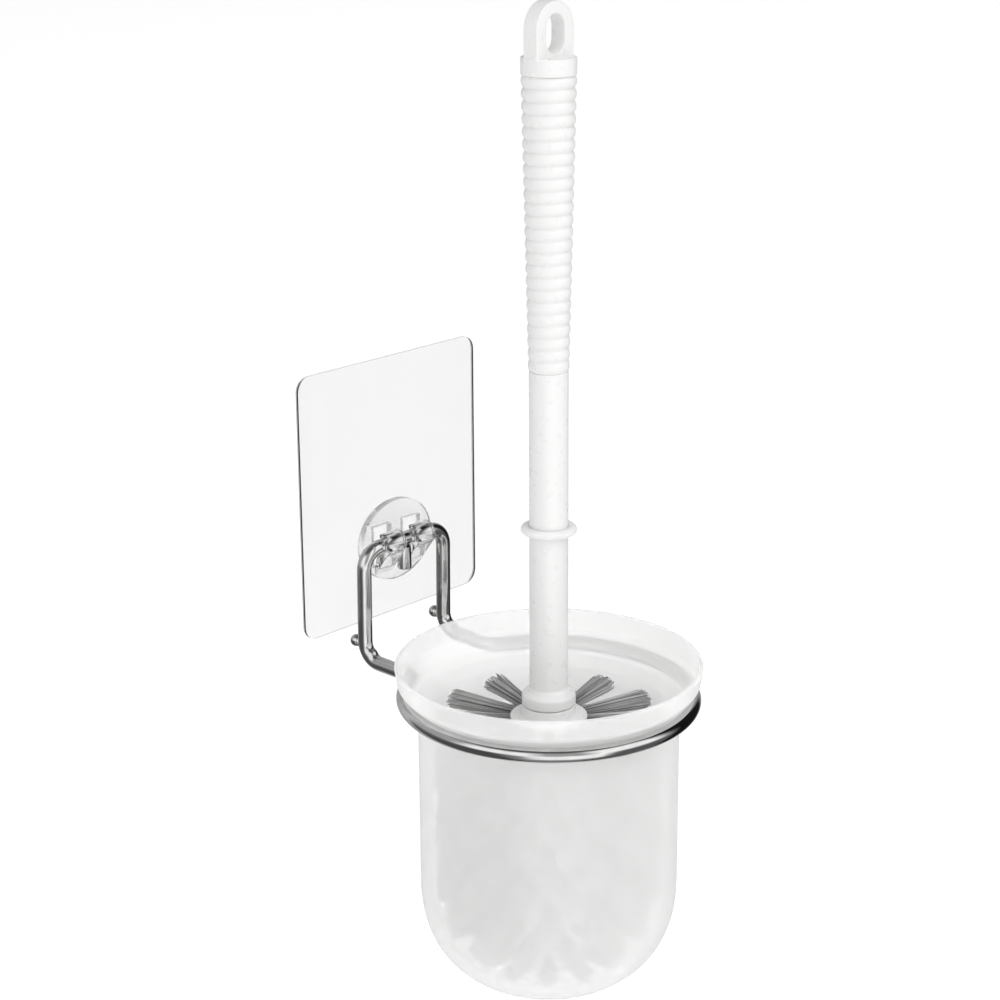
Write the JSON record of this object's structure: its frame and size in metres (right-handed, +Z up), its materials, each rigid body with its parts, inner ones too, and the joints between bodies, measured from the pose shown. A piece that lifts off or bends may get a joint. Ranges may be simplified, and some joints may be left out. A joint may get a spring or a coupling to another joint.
{
  "type": "toilet brush holder",
  "caption": "Wall-hung toilet brush set: milky cup in a chrome wire ring bracket that hooks on a clear adhesive plate, with a ribbed-handle bristle brush.",
  "frame": {"origin": "middle of the sheet's back face, on the wall", "axes": "+Y into the wall, +Z up along the handle, +X to the right seen from the room"},
  "size_m": [0.12, 0.147, 0.3894],
  "materials": {
    "adhesive_film": "clear, slightly hazy tacky film",
    "clear_film": "clear smooth sheet, polished cut edges",
    "clear_moulding": "clear injection moulding, polished",
    "chrome_wire": "bright chrome plating",
    "milky_plastic": "translucent milky white, glossy",
    "white_plastic": "white, semi-gloss",
    "collar_plastic": "translucent milky white, soft gloss",
    "bristle": "grey filament bundles"
  },
  "bodies": {
    "wall_mount": {"adhesive_layer": "adhesive_film", "backing_sheet": "clear_film", "hook_plate": "clear_moulding"},
    "bracket": {"wire_frame": "chrome_wire", "left_stand_off": "chrome_wire", "right_stand_off": "chrome_wire", "locating_peg": "chrome_wire"},
    "cup": {"cup": "milky_plastic"},
    "brush": {"hanging_loop": "white_plastic", "ribbed_grip": "white_plastic", "stem": "white_plastic", "drip_collar": "collar_plastic", "head_core": "white_plastic", "tuft_row_1": "bristle", "tuft_row_2": "bristle", "tuft_row_3": "bristle", "tuft_row_4": "bristle", "tuft_row_5": "bristle", "tuft_row_6": "bristle", "tuft_row_7": "bristle", "tuft_row_8": "bristle", "tuft_row_9": "bristle", "end_tuft": "bristle"}
  },
  "joints": [
    {"name": "bracket_tilt", "type": "hinge", "parent": "wall_mount", "child": "bracket", "pos_m": [0, -0.0083, -0.0212], "axis": [-1, 0, 0], "range_deg": [0, 15]},
    {"name": "cup_lift", "type": "slide", "parent": "bracket", "child": "cup", "axis": [0, 0, 1], "range_m": [0, 0.14]},
    {"name": "brush_lift", "type": "slide", "parent": "cup", "child": "brush", "axis": [0, 0, 1], "range_m": [0, 0.15]}
  ]
}
